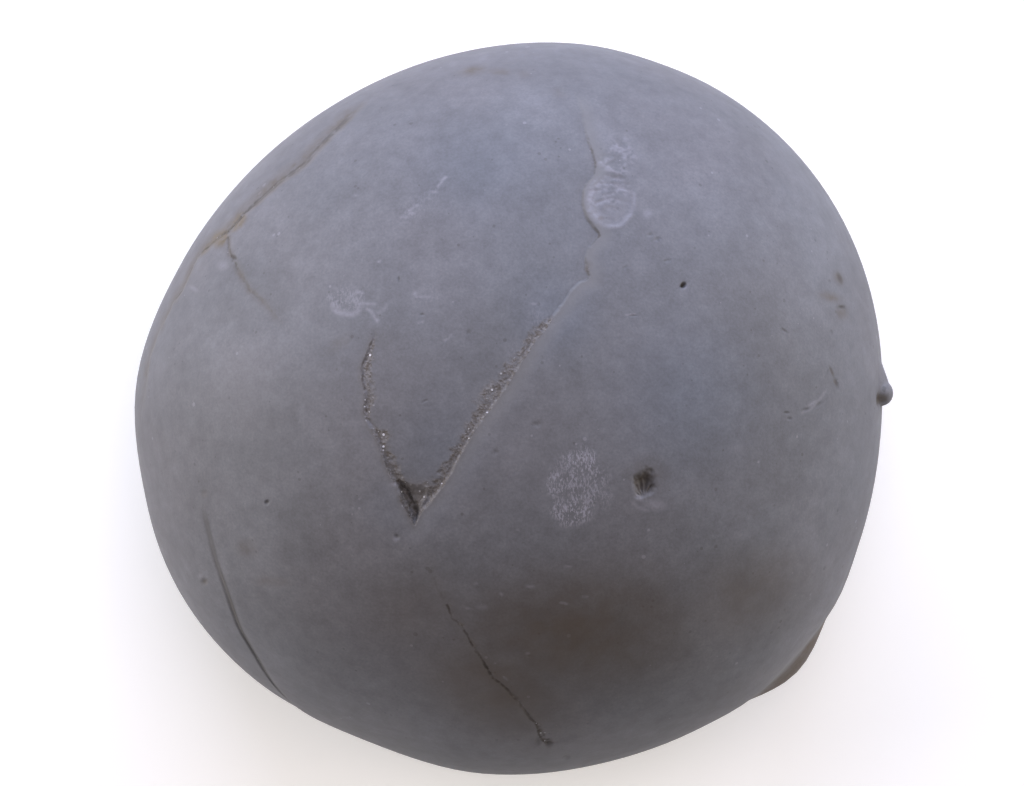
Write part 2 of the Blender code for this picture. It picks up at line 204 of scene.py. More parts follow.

# Small dents: plan point, half size along and across, turn from +X in degrees, depth, how much painted
# shade darkens it. Each fades out over DENT_SPREAD times its half sizes.
DENT_SPREAD = 1.35
DENTS = (
    (17.4, 12.3, 0.34, 0.26, 45, 0.45, 1), (14.1, 17.4, 0.35, 0.18, 10, 0.07, 0),
    (14.9, 17, 0.4, 0.22, 20, 0.08, 0.05), (15.8, 14.8, 0.45, 0.16, 10, 0.06, 0.05),
    (11.6, 14.1, 0.35, 0.16, 30, 0.04, 0.05), (12.3, 9.2, 0.6, 0.12, 2, 0.06, 0.1),
    (-31.4, -17.9, 0.4, 0.38, 20, 0.12, 0.12), (-24.4, -9.5, 0.28, 0.24, 60, 0.2, 0.4),
    (-11.2, -12.8, 0.32, 0.24, 135, 0.12, 0), (-31.1, -8.7, 0.45, 0.4, 0, 0.06, 0),
    (-11.1, 12.9, 0.1, 0.28, 0, 0.1, 0.4), (-8.7, 9.3, 0.22, 0.16, 0, 0.08, 0.15),
    (-8.4, 0.7, 0.35, 0.14, 30, 0.05, 0.15), (-4.1, 7.5, 0.25, 0.35, 0, 0.06, 0.2),
    (2.7, -1.6, 0.55, 0.3, 10, 0.06, 0.12), (-1.4, -4.4, 0.3, 0.35, 0, 0.06, 0.15),
    (-28.1, 15.3, 0.22, 0.35, 35, 0.15, 0.35), (2.9, -34, 0.4, 0.55, 0, 0.12, 0.3),
    (4, -34.3, 0.4, 0.55, 0, 0.12, 0.3), (5.9, -36, 0.35, 0.4, 0, 0.1, 0.15),
    (33.9, 13.3, 0.25, 0.55, 20, 0.06, 0.5), (32.7, 12.9, 0.2, 0.2, 0, 0.04, 0.3),
    (34, 10.3, 0.5, 0.18, 0, 0.08, 0.6), (32.7, 7.7, 0.2, 0.25, 0, 0.04, 0.2),
    (32.7, 3.7, 0.16, 0.6, 25, 0.05, 0.3), (33.3, 2.5, 0.24, 0.5, 20, 0.05, 0.45),
    (32.3, 3.7, 0.12, 0.4, 340, 0.03, 0.2), (27.6, 7.8, 0.45, 0.15, 330, 0.05, 0.4),
    (30, -0.2, 0.45, 0.2, 20, 0.07, 0.3), (28, -0.5, 0.35, 0.15, 0, 0.07, 0.35),
    (28.3, -1.1, 0.3, 0.15, 0, 0.07, 0.3), (31.4, 0.3, 0.6, 0.2, 40, 0.07, 0.2),
)

# Marks on the dome, each: plan point, half sizes, turn, strength. First soft brown and olive stains.
STAINS = (
    (33.8, 13.3, 0.9, 1.2, 20, 1), (32.7, 11.3, 2, 0.8, 350, 1), (34, 9.8, 1.1, 1.1, 0, 1),
    (32.8, 3.6, 0.3, 0.9, 20, 0.8), (33.2, 2.6, 0.3, 0.6, 30, 0.8), (-3.8, 34.7, 2.2, 0.9, 10, 1),
    (-1, 34.5, 1.8, 0.7, 355, 0.8), (1.4, 34.2, 1.2, 0.7, 340, 0.4), (-17.5, 28.7, 1.4, 0.6, 45, 0.9),
    (-18.8, 27.4, 1.2, 0.8, 45, 0.9), (-21.3, 24.9, 1.5, 0.9, 45, 0.8), (-23.2, 23.9, 1.4, 0.8, 35, 0.8),
    (-25.2, 22.6, 1.8, 0.8, 40, 0.6), (-27.6, 19.4, 1.3, 1, 52, 0.9), (-29.6, 17.3, 1.7, 1.3, 45, 0.8),
    (9.2, 19.1, 0.5, 0.4, 0, 1), (10, 20.3, 1.2, 0.4, 10, 0.4), (7.9, 14.3, 0.5, 0.8, 0, 0.7),
    (-17, 6.5, 2.2, 1, 35, 0.35), (-26.7, -14.2, 1.8, 1.6, 0, 0.5), (-24, -17.6, 3.2, 0.8, 0, 0.45),
    (-31.1, -8.8, 0.6, 0.6, 0, 0.5), (-31.4, -17.9, 0.55, 0.5, 0, 0.9), (13.8, -6.6, 3.2, 2.6, 0, 0.45),
    (5.1, 32, 1.4, 0.9, 330, 0.3), (-36, 8.5, 0.8, 1.4, 340, 0.7), (-34.6, 11.3, 0.8, 1, 330, 0.9),
)

# Tan crusts on the shoulder.
CRUSTS = (
    (-27.9, 19.1, 1.5, 0.9, 52, 1), (-30, 17.5, 1.4, 1.3, 45, 1), (-31.4, 16.4, 1.1, 0.7, 45, 0.6),
)

# Broad changes of the stone's colour. First brown over the lower front, partly the stone's own and partly
# painted warm shade.
BROWNED_WARM_SHADE = (
    (6.5, -22.5, 19, 10, 3, 0.7), (-1, -28.5, 12, 8, 340, 0.65), (-9, -20, 9, 7, 0, 0.25),
    (24, -19, 12, 7, 20, 0.4),
)
# cooler patches of the stone's tone
COOLED = (
    (18, 1, 12, 13, 0, 0.9), (4.5, 9, 6, 7, 50, 0.7), (-4, 24, 10, 8, 0, 0.4), (-7, -4, 7, 8, 0, 0.5),
    (-10, -10, 7, 5, 0, 0.4),
)
# painted light: patches made lighter where the dome and walls catch more light
PAINTED_LIGHT = (
    (9.6, 27.8, 1.4, 4.5, 15, 0.6), (37.2, 4.6, 3.4, 1.5, 95, 0.6), (-31.5, -18, 5.5, 9, 20, 0.8),
    (32.5, -21.5, 6, 9, 340, 0.7), (-11, -13, 14, 7, 5, 0.8), (-30, 3, 4, 12, 0, 0.5),
    (1, 31, 8, 4, 0, 0.4), (-27, 20, 8, 7, 45, 0.5), (-24, -17, 7, 7, 0, 0.5),
)

# Whitish bruises made of many short streaks.
BRUISES = (
    (7.1, -7.4, 3.6, 4, 0, 0.65), (7.3, -5.2, 2.3, 1.6, 0, 0.85), (6.2, -10.4, 2.7, 1.7, 0, 0.85),
    (4.8, -7.6, 1.5, 1.9, 0, 0.75), (-16.3, 11, 2.6, 1.5, 0, 0.35), (-9, 20.4, 3.6, 1.4, 38, 0.12),
    (-8, 11.2, 2.6, 1.4, 0, 0.1), (3, 8.6, 1.6, 1.8, 50, 0.15), (0.4, 5, 1.4, 2.6, 330, 0.12),
)

# Pale soft patches.
PALE_PATCHES = (
    (14.6, -9.6, 1.6, 0.7, 355, 0.4), (12.9, -9, 0.9, 0.5, 320, 0.3), (22.8, -4.1, 1.3, 0.9, 0, 0.16),
    (23.4, -12.9, 1.4, 0.7, 0, 0.14), (-29.3, 14.5, 0.9, 0.8, 0, 0.35),
    (-32.4, 12.2, 0.9, 0.35, 330, 0.35), (-2.7, -19.9, 1, 0.5, 0, 0.25), (13.9, 19.6, 0.8, 0.7, 50, 0.35),
    (-11.4, -7.6, 0.8, 0.35, 0, 0.45), (17.5, 12.2, 0.62, 0.55, 45, 0.45),
    (-11.4, -13.1, 0.45, 0.35, 135, 0.5), (-31.8, -17.3, 0.5, 0.4, 45, 0.35),
    (-13.1, 14.7, 0.3, 0.22, 0, 0.8), (-15.5, 21.4, 0.4, 0.16, 0, 0.5), (-14.9, -9, 0.2, 0.16, 0, 0.6),
    (-15.6, -9.9, 0.3, 0.16, 0, 0.35), (-7.1, -2.4, 0.7, 0.5, 0, 0.15), (2.4, 10.4, 0.7, 0.2, 0, 0.35),
)

# Pale scratches and dashes: half breadth, strength, way. Each fades out over STROKE_SPREAD half breadths.
STROKE_SPREAD = 1.6
SCRATCHES = (
    (0.18, 0.35, ((30.1, -0.4), (30.9, 0.2), (31.5, 0.9), (32.1, 1.7))),
    (0.36, 0.6, ((-17.7, 10.3), (-17.3, 9.7), (-16.4, 9.4), (-15.5, 9.5), (-15.1, 9.8), (-14.8, 10.4))),
    (0.16, 0.5, ((-14.8, 10.6), (-14.3, 10.4), (-13.5, 10.4))),
    (0.2, 0.5, ((-14.2, 9.9), (-13.8, 9.6), (-13.5, 9.1), (-13.2, 8.7))),
    (0.2, 0.4, ((-12.3, 10.3), (-12.6, 9.8), (-13.2, 9.5))),
    (0.14, 0.5, ((-15.6, 11.5), (-15.2, 11.7), (-14.8, 11.5))), (0.18, 0.3, ((-17.8, 12.1), (-17.5, 12))),
    (0.12, 0.5, ((-9.3, 11.1), (-7.9, 11.1))), (0.16, 0.7, ((-9.5, 11.4), (-9.3, 11.4))),
    (0.14, 0.7, ((-9.1, 8.5), (-8.7, 8.6))), (0.12, 0.5, ((-6.5, 6.7), (-6.1, 6.9), (-5.8, 7.3))),
    (0.16, 0.8, ((-9.5, 20.3), (-9.2, 20.3))), (0.15, 0.7, ((-10.1, 19.8), (-9.7, 20))),
    (0.15, 0.7, ((-10, 19.5), (-9.7, 19.5))), (0.18, 0.5, ((-10.8, 19.1), (-10.4, 19.1))),
    (0.16, 0.7, ((-6.8, 22.8), (-6.4, 23.1))), (0.14, 0.6, ((-7.2, 22.2), (-6.8, 22.6))),
    (0.14, 0.5, ((-7.9, 21.6), (-7.3, 21.6))), (0.1, 0.5, ((11.6, 9.3), (12.6, 9.4))),
    (0.16, 0.4, ((29.6, -0.6), (30.3, 0.2), (31.2, 0.7))), (0.14, 0.5, ((1.7, -17.8), (2.3, -17.8))),
    (0.14, 0.4, ((5.1, -19.5), (5.7, -19.6))), (0.12, 0.4, ((5.5, -15.8), (6.2, -15.8))),
    (0.16, 0.5, ((-0.9, -18.5), (-0.8, -18.6))), (0.16, 0.4, ((-3.5, -17.5), (-3.3, -17.5))),
    (0.14, 0.5, ((-4.3, -20), (-4.1, -20))), (0.12, 0.5, ((-0.6, -27.2), (-0.3, -27.5))),
    (0.16, 0.3, ((1.7, -24.7), (1.9, -24.7))), (0.12, 0.4, ((7.3, -18.9), (7.8, -18.9))),
    (0.12, 0.4, ((0.7, -12.1), (0.9, -12.1))), (0.2, 0.4, ((12.2, -9.3), (13, -10), (13.9, -10.2))),
)

# The knob on the wall: bearing and level of its round end, its half breadth and half height, how far it
# stands out and how blunt it is, how far its shoulder runs towards higher bearings, how far that stands
# out and how much taller it is, and the brown stain with painted shade beside it: half sizes and how dark
# the painted shade is.
KNOB = (2.2, 20.5)
KNOB_HALF = (1.3, 1.7)
KNOB_STAND = 1.25
KNOB_BLUNTNESS = 0.45
KNOB_SHOULDER = (3.6, 1.15, 1.3)
KNOB_STAIN = (1.1, 0.9, 1.5)
KNOB_SHADE = 0.25
# The low lump, and the hollow by the knob: bearing, level, half along, half up, how far it stands out or
# goes in.
LOW_LUMP = (317.8, 9.5, 9.0, 8.0, 2.3)
KNOB_HOLLOW = (1.2, 22.6, 1.1, 1.3, 0.35)

# Paler skin of the walls, partly weathering and partly painted sheen of the steep sides: the level under
# which it starts, and how much lower it is at its full strength.
WEATHERED_SHEEN_FROM = (24, 16)
BROWN_FROM = (7.0, 6)
UNDER_BROWN = 0.75  # how brown the underside is

# The mouth's hollow in the flat underside and the vent's, low in the wall at the narrow end: centre, half
# sizes, depth.
MOUTH = (-17.0, 0.0, 0.0, 3.2, 4.4, 2.4)
VENT = (33.0, -2.0, 3.4, 2.6, 2.2, 1.6)

BALL_SUBDIVISIONS = 6
COARSE_ROUNDS = 2  # the rounds after these pass over stains and hollows, and follow the broken bands too
SPLIT_REACH = (2.4, 1.4, 0.8, 0.38)  # how far round its places each round of splitting reaches
PLACE_STEP = 0.6  # spacing of the places that the mesh is made finer around
KNOB_PLACES = [(turn, rise) for turn in range(-3, 9) for rise in range(-2, 4)]
RING_PLACES = 12

MASKS = ("broken", "crevice_dirt_and_shade", "worn_edge_and_highlight", "bruise", "pale", "stain", "crust", "hollow_shade", "weathered_and_sheen",
         "brown_and_warm_shade", "cool", "light")
SOFT_MARKS = dict(stain=STAINS, pale=PALE_PATCHES, brown_and_warm_shade=BROWNED_WARM_SHADE, cool=COOLED, light=PAINTED_LIGHT)
RAGGED_MARKS = dict(bruise=BRUISES, crust=CRUSTS)

# The noise patterns. Each is the same noise read in another place.
PATTERNS = ("dome", "jag", "fine jag", "band", "dig", "line", "tip x", "tip y", "scar edge", "ridges",
            "fine ridges", "rough", "fine rough", "pit edge", "threads", "walls", "underside", "grit",
            "fine grit", "ragged", "smear", "tip", "lip", "worn off", "fine pit edge")
PATTERN_SHIFT = Vector((17.3, 5.1, 9.7))


# -------- the form

def ease(value):
    """0 to 1 with soft ends."""
    value = np.clip(value, 0, 1)
    return value * value * (3 - 2 * value)


def plan_radius(bearing):
    """Distance of the wall from the middle at the widest level, for bearings in radians."""
    slant = np.hypot(HALF_BREADTH * np.cos(bearing), HALF_LENGTH * np.sin(bearing))
    oval = HALF_LENGTH * HALF_BREADTH / slant
    for centre, half_width, rise in PLAN_SWELLS:
        off = (np.degrees(bearing) - centre + 180) % 360 - 180
        oval = oval + rise * np.cos(np.clip(off / half_width, -1, 1) * math.pi / 2) ** 2
    return oval


def form(ball):
    """Points of the smooth form for unit vectors: the ball's latitude becomes the level."""
    bearing = np.arctan2(ball[:, 1], ball[:, 0])
    rise = np.abs(ball[:, 2])
    run = np.sqrt(np.clip(1 - rise**2, 0, 1))
    above = ball[:, 2] >= 0
    power = np.where(above, 2 / DOME_FULLNESS, 2 / UNDER_FULLNESS)
    out = plan_radius(bearing) * run**power
    height = np.where(above, DOME_TOP - WIDEST_LEVEL, -(WIDEST_LEVEL + BASE_CUT))
    plan = np.column_stack((out * np.cos(bearing), out * np.sin(bearing)))
    return np.column_stack((PLAN_CENTRE + plan, WIDEST_LEVEL + height * rise**power))


def on_dome(plan_points):
    """Points of the dome above plan points."""
    plan = np.array(plan_points, dtype=float).reshape(-1, 2)
    radius = plan_radius(np.arctan2(plan[:, 1], plan[:, 0]))
    share = np.clip(np.hypot(plan[:, 0], plan[:, 1]) / radius, 0, 1)
    level = WIDEST_LEVEL + (DOME_TOP - WIDEST_LEVEL) * (1 - share**DOME_FULLNESS) ** (1 / DOME_FULLNESS)
    return np.column_stack((plan + PLAN_CENTRE, level))


def on_wall(bearing, level):
    """The point of the wall at a bearing in degrees and a level, below the widest one or above it."""
    turn = math.radians(bearing)
    if level > WIDEST_LEVEL:
        share, fullness = (level - WIDEST_LEVEL) / (DOME_TOP - WIDEST_LEVEL), DOME_FULLNESS
    else:
        share, fullness = (WIDEST_LEVEL - level) / (WIDEST_LEVEL + BASE_CUT), UNDER_FULLNESS
    out = float(plan_radius(np.array([turn]))[0]) * (1 - share**fullness) ** (1 / fullness)
    return np.array((PLAN_CENTRE[0] + out * math.cos(turn), PLAN_CENTRE[1] + out * math.sin(turn), level))


def ripple(points, size, pattern):
    """Smooth noise from about -1 to 1, with swells of about that size."""
    shift = PATTERN_SHIFT * PATTERNS.index(pattern)
    return np.array([noise.noise(Vector(point) / size + shift) for point in points])


def rough_ripple(points, size, fine_size, pattern):
    """The same with finer swells on it."""
    return ripple(points, size, pattern) + 0.6 * ripple(points, fine_size, "fine " + pattern)


def unevenness(points):
    """The worn dome's slow swells and dips, none at the widest level and below."""
    height = ease((points[:, 2] - WIDEST_LEVEL) / (DOME_TOP - WIDEST_LEVEL))
    return UNEVEN_DEPTH * height * ripple(points, UNEVEN_SPACING, "dome")


# -------- cracks

def smooth_curve(stops):
    """Points a small step apart on a smooth curve through all the stops."""
    stops = np.vstack((2 * stops[0] - stops[1], stops, 2 * stops[-1] - stops[-2]))
    read = []
    for before, start, end, after in zip(stops, stops[1:], stops[2:], stops[3:]):
        steps = max(2, round(math.dist(start[:3], end[:3]) / WAY_STEP))
        slope = end - before
        bend = 2 * before - 5 * start + 4 * end - after
        twist = 3 * start - before - 3 * end + after
        for t in np.arange(steps) / steps:
            read.append(0.5 * (2 * start + slope * t + bend * t**2 + twist * t**3))
    return np.array(read + [stops[-2]])


def read_way(crack):
    """A crack's way as a smooth curve: its points, how far along each is, its bands and how dark it is."""
    stops = np.array(crack["way"], dtype=float)
    corners = np.column_stack((on_dome(stops[:, :2]), stops[:, 2:]))
    for bearing, level, band, hollow_shade in crack.get("down", ()):
        corners = np.vstack((corners, (*on_wall(bearing, level), band, hollow_shade)))
    read = smooth_curve(corners)
    travel = np.concatenate(([0.0], np.cumsum(np.linalg.norm(np.diff(read[:, :3], axis=0), axis=1))))
    return read[:, :3], travel, np.maximum(read[:, 3], 0.1), np.clip(read[:, 4], 0, 1)


def beside(way, travel, points, normals):
    """For each point: its distance from the way (plus: on the left), and how far along the way it is."""
    nearest = np.full(len(points), np.inf)
    side = np.ones(len(points))
    along = np.zeros(len(points))
    straight = np.zeros(len(points))
    for start, end, travel_start, travel_end in zip(way, way[1:], travel, travel[1:]):
        run = end - start
        length = np.linalg.norm(run)
        t = np.clip((points - start) @ run / length**2, 0, 1)
        gap = points - start - t[:, None] * run
        distance = np.linalg.norm(gap, axis=1)
        turn = np.einsum("ij,ij->i", np.cross(run / length, gap), normals)
        # where two runs are equally near, the one that the point stands out from more tells the side
        tied = (distance < nearest + TIE) & (np.abs(turn) > straight)
        closer = (distance < nearest - TIE) | tied
        nearest[closer] = distance[closer]
        along[closer] = (travel_start + t * (travel_end - travel_start))[closer]
        straight[closer] = np.abs(turn)[closer]
        side[closer] = np.where(turn >= 0, 1.0, -1.0)[closer]
    return nearest * side, along


def sunken_plate(way, drops, reach, points):
    """How deep the low stone lies: the drops of the nearest stretches, fading out over the reach."""
    spread = PLATE_SPREAD * reach
    near = np.zeros(len(points))
    weighed = np.zeros(len(points))
    for place, drop in zip(way, drops):
        weight = np.exp(-((points - place) ** 2).sum(axis=1) / (2 * spread**2))
        near += weight
        weighed += weight * drop
    nearness = near * WAY_STEP / (spread * math.sqrt(math.tau))
    return weighed / np.maximum(near, 1e-9) * (1 - np.exp(-PLATE_FIRMNESS * nearness))


def along_way(values, share):
    """Values that are spread evenly along a way, read at shares of its length."""
    return np.interp(share, np.linspace(0, 1, len(values)), values)


def ragged(points, amount, size, pattern):
    """1, more or less by the amount."""
    return 1 + amount * ripple(points, size, pattern)


def cut_crack(crack, points, normals, sunk, masks):
    """Sinks the points beside a crack, and marks its broken band, its dark line of dirt and painted shade
    and its worn edge, paler as wear and as a painted highlight.
    """
    way, travel, bands, darks = read_way(crack)
    margin = MARGIN * crack["reach"]
    inside = (points > way.min(axis=0) - margin) & (points < way.max(axis=0) + margin)
    near = np.all(inside, axis=1).nonzero()[0]
    here = points[near]
    offset, along = beside(way, travel, here, normals[near])
    jag = rough_ripple(here, *JAG_SIZES, "jag")
    offset = offset * crack["low"] + crack["jag"] * jag
    share = along / travel[-1]
    band = np.interp(along, travel, bands) * ragged(here, *BAND_RAGGED, "band")
    read = {name: along_way(crack[name], share) for name in ("dig", "fall", "worn", "stained")}
    fade = ease(along / crack["run_out"][0]) * ease((travel[-1] - along) / crack["run_out"][1])

    wall = crack["wall"]
    below = ease(offset / wall)
    in_trench = below * (1 - ease((offset - wall) / np.maximum(band - wall, 0.2)))
    edge = ease(1 + offset / crack["rim"]) * (1 - below)
    plate = sunken_plate(way, along_way(crack["drop"], travel / travel[-1]), crack["reach"], here)
    dug = read["dig"] * ragged(here, *DIG_RAGGED, "dig")
    depth = (read["fall"] * edge + below * plate + dug * in_trench) * fade
    sunk[near] = np.maximum(sunk[near], depth)

    in_band = ease(0.3 + 2 * offset / wall) * (1 - ease((offset - 0.6 * band) / (0.5 * band)))
    in_band = in_band * ease((band - 0.3) / 0.3)
    # the dark line: painted shade at the foot of the crack's wall, with dirt
    line = 1 - ease((np.abs(offset - 0.5 * wall) - 0.4 * crack["line"]) / crack["line"])
    patchy = 1 if crack["jag"] == 0 else ease((ripple(here, LINE_SIZE, "line") + 0.4) / 0.5)
    high_side, low_side = crack["smear"]
    smear = ease(1 + offset / high_side) * (1 - ease((offset - 0.4 * low_side) / low_side))
    smear = smear * (0.8 + 0.4 * ripple(here, SMEAR_SIZE, "smear"))
    # the worn edge is painted paler, partly as wear and partly as a painted highlight
    marks = dict(broken=in_band, crevice_dirt_and_shade=line * patchy * np.interp(along, travel, darks),
                 worn_edge_and_highlight=edge * read["worn"], stain=smear * read["stained"])
    for name, mark in marks.items():
        masks[name][near] = np.maximum(masks[name][near], mark * fade)


def cut_tip(points, sunk, masks):
    """The hollow at the wedge's tip, deepest on its left, where painted shade makes it darkest."""
    wander = np.column_stack((ripple(points, 0.6, "tip x"), ripple(points, 0.6, "tip y")))
    plan = points[:, :2] - PLAN_CENTRE + TIP_WANDER * wander
    corners = np.array(TIP_CORNERS)
    hollow = (points[:, 2] > WIDEST_LEVEL).astype(float)
    for start, end, edge in zip(corners, np.roll(corners, -1, axis=0), TIP_EDGES):
        run = (end - start) / np.linalg.norm(end - start)
        gap = plan - start
        inside = gap[:, 0] * run[1] - gap[:, 1] * run[0]
        hollow = hollow * ease(inside / edge)
    # inside is now measured from the left side
    left = 1 - ease((inside - TIP_LEFT[0]) / TIP_LEFT[1])
    deep, shallow = TIP_DEPTHS
    sunk[:] = np.maximum(sunk, hollow * (shallow + (deep - shallow) * left))
    raise_mark(masks, "broken", hollow * (0.35 + 0.45 * left))
    raise_mark(masks, "stain", 0.8 * hollow)
    # painted shade on the hollow's left, under its wall
    raise_mark(masks, "hollow_shade", 0.55 * hollow * left * ease((ripple(points, 0.35, "tip") + 0.4) / 0.7))


# -------- marks

def turned(points, x, y, half_along, half_across, turn=0):
    """Plan offsets from a plan point, along and across its turn, as shares of the half sizes."""
    off = points[:, :2] - PLAN_CENTRE - (x, y)
    cos, sin = math.cos(math.radians(turn)), math.sin(math.radians(turn))
    along = off[:, 0] * cos + off[:, 1] * sin
    across = off[:, 1] * cos - off[:, 0] * sin
    return along / half_along, across / half_across


def patch(points, x, y, half_along, half_across, turn=0):
    """1 at a plan point, falling softly to 0 at the half sizes, on the dome only."""
    along, across = turned(points, x, y, half_along, half_across, turn)
    return (1 - ease(np.hypot(along, across))) * (points[:, 2] > WIDEST_LEVEL)


def field(points, x, y, half_along, half_across, turn=0):
    """As patch, but level over its middle and with a ragged edge."""
    along, across = turned(points, x, y, half_along, half_across, turn)
    away = np.hypot(along, across) + 0.25 * ripple(points, 1.4, "ragged")
    return (1 - ease((away - 0.5) / 0.5)) * (points[:, 2] > WIDEST_LEVEL)


def bump(points, centre, sizes):
    """1 at the centre, falling softly to 0 at the given half sizes in X, Y and Z."""
    return 1 - ease(np.linalg.norm((points - centre) / sizes, axis=1))


def wall_bump(points, bearing, level, along, up):
    """A bump at a place of the wall."""
    return bump(points, on_wall(bearing, level), (along, along, up))


def knob(points):
    """How far the knob stands out: a round end, and a shoulder that falls off slowly to one side."""
    centre = on_wall(*KNOB)
    turn = math.radians(KNOB[0])
    along = (points - centre) @ (-math.sin(turn), math.cos(turn), 0)
    up = points[:, 2] - centre[2]
    facing = points[:, 0] > 0
    ball = np.clip(1 - (along / KNOB_HALF[0]) ** 2 - (up / KNOB_HALF[1]) ** 2, 0, 1)
    end = KNOB_STAND * ball**KNOB_BLUNTNESS
    run, stand, taller = KNOB_SHOULDER
    shoulder = stand * np.clip(1 - along / run, 0, 1) * ease(1 + along / KNOB_HALF[0])
    shoulder = shoulder * (1 - ease(np.abs(up) / (taller * KNOB_HALF[1])))
    return np.maximum(end, shoulder) * facing


def raise_mark(masks, name, amount):
    """Makes a mask at least the amount."""
    masks[name][:] = np.maximum(masks[name], amount)


def toward(bearing, centre, half_length, fade):
    """1 within half_length degrees of the centre bearing, fading to 0 beyond."""
    off = np.abs((bearing - centre + 180) % 360 - 180)
    return 1 - ease((off - half_length) / fade)


def cut_scar(points, sunk, masks):
    """The round scar: a shallow disc, rough at its upper left, with a pale lip left and lower right, worn
    pale on the left and partly a painted highlight on the lower right.
    """
    along, across = turned(points, *SCAR, *SCAR_HALF)
    above = points[:, 2] > WIDEST_LEVEL
    away = np.hypot(along, across) + 0.03 * ripple(points, 1.3, "scar edge")
    bearing = np.degrees(np.arctan2(across, along))
    inside = (1 - ease((away - 0.75) / 0.25)) * above
    upper_left = ease((across - 0.5 * along + 0.5) / 0.7)
    ridges = ripple(points * (0.7, 1.4, 1.0), 0.5, "ridges") + 0.6 * ripple(points, 0.28, "fine ridges")
    left = toward(bearing, *LIP_LEFT)
    breadth = 0.14 + 0.12 * left
    lip = (1 - ease(np.abs(away - 0.95 + 0.5 * breadth) / breadth)) * above
    lip = lip * np.maximum(toward(bearing, *LIP_RIGHT), 0.8 * left)
    lip = lip * (0.75 + 0.5 * ripple(points, 0.6, "lip"))
    sunk[:] = np.where(inside > 0, sunk * (1 - 0.8 * inside), sunk)
    sunk += inside * (SCAR_SUNK + SCAR_ROUGH * ridges * (0.3 + 0.7 * upper_left)) - lip * SCAR_LIP
    marks = ease((ridges + 0.1) / 0.7) * upper_left
    # pale inside the scar, and its lip: worn on the left, partly a painted highlight on the lower right
    raise_mark(masks, "pale", inside * (0.14 + 0.4 * marks) + 0.35 * lip)
    # painted shade in the low rough marks
    raise_mark(masks, "hollow_shade", 0.15 * inside * upper_left * ease((-ridges - 0.35) / 0.4))
    rough = field(points, *ROUGH_PATCH)
    marks = rough_ripple(points, *ROUGH_PATCH_SIZES, "rough")
    sunk += rough * ROUGH_PATCH_DEPTH * marks
    raise_mark(masks, "pale", rough * 0.45 * ease((0.1 - marks) / 0.6))


def cut_torn_pit(points, sunk, masks):
    """The torn pit: deep on top with painted shade there, with threads of stone that meet at its pale
    lower lip.
    """
    along, across = turned(points, *TORN_PIT, *TORN_HALF)
    above = points[:, 2] > WIDEST_LEVEL
    away = np.hypot(along, across) * ragged(points, 0.22, 0.8, "pit edge")
    away = away + 0.08 * ripple(points, 0.3, "fine pit edge")
    hollow = (1 - ease((away - 0.15) / 0.85)) * above
    end_along, end_across = turned(points, *TORN_END, 1, 1)
    fan = np.degrees(np.arctan2(end_along, end_across)) / TORN_FAN + 0.35 * ripple(points, 0.9, "threads")
    threads = np.cos(fan * math.tau) * ease(np.hypot(end_along, end_across) / 0.5)
    low = ease((0.6 - across) / 1.2)
    sunk += TORN_DEPTH * hollow * (1 - 0.25 * low * threads)
    # painted shade in the pit, darkest on top and less along the threads
    pit_shade = 0.6 - 0.2 * ease(threads) - 0.15 * low
    raise_mark(masks, "stain", hollow**0.6)
    raise_mark(masks, "hollow_shade", hollow * pit_shade)
    raise_mark(masks, "pale", 0.4 * patch(points, *TORN_LIP))


def cut_dents(points, sunk, masks):
    for x, y, half_along, half_across, turn, depth, hollow_shade in DENTS:
        dent = patch(points, x, y, DENT_SPREAD * half_along, DENT_SPREAD * half_across, turn)
        sunk += depth * dent
        # painted shade in each dent
        raise_mark(masks, "hollow_shade", hollow_shade * dent**0.5)


def stroke(points, stops):
    """Distance in plan from a smooth curve through plan points."""
    plan = points[:, :2] - PLAN_CENTRE
    nearest = np.full(len(points), np.inf)
    corners = smooth_curve(np.array(stops, dtype=float))
    for start, end in zip(corners, corners[1:]):
        run = end - start
        t = np.clip((plan - start) @ run / (run @ run), 0, 1)
        nearest = np.minimum(nearest, np.linalg.norm(plan - start - t[:, None] * run, axis=1))
    return nearest


def colour_marks(points, masks):
    """Stains, bruises, pale patches and scratches: colour only."""
    above = points[:, 2] > WIDEST_LEVEL
    for shape, kinds in ((patch, SOFT_MARKS), (field, RAGGED_MARKS)):
        for name, marks in kinds.items():
            for *place, strength in marks:
                raise_mark(masks, name, strength * shape(points, *place))
    worn_off = 0.75 + 0.6 * ripple(points, 0.5, "worn off")
    for half_breadth, strength, way in SCRATCHES:
        mark = (1 - ease(stroke(points, way) / (STROKE_SPREAD * half_breadth))) * above
        raise_mark(masks, "pale", strength * mark * worn_off)


def colour_walls(points, masks):
    """Paler skin on the walls, partly weathering and partly painted sheen, the brown low lump, the brown
    underside and the brown stain with painted shade beside the knob.
    """
    level = points[:, 2] + 2.0 * ripple(points, 9.0, "walls")
    # paler skin low on the walls: weathering and painted sheen
    raise_mark(masks, "weathered_and_sheen", ease((WEATHERED_SHEEN_FROM[0] - level) / WEATHERED_SHEEN_FROM[1]))
    raise_mark(masks, "brown_and_warm_shade", ease((wall_bump(points, *LOW_LUMP[:4]) - 0.03) / 0.12))
    below = BROWN_FROM[0] - points[:, 2] + 1.5 * ripple(points, 5.0, "underside")
    raise_mark(masks, "brown_and_warm_shade", UNDER_BROWN * ease(below / BROWN_FROM[1]))
    # the brown stain in the hollow beside the knob, with painted shade there
    brown = bump(points, on_wall(*KNOB_HOLLOW[:2]), KNOB_STAIN)
    raise_mark(masks, "stain", ease(brown / 0.5))
    raise_mark(masks, "hollow_shade", KNOB_SHADE * brown)


# -------- the stone's mesh

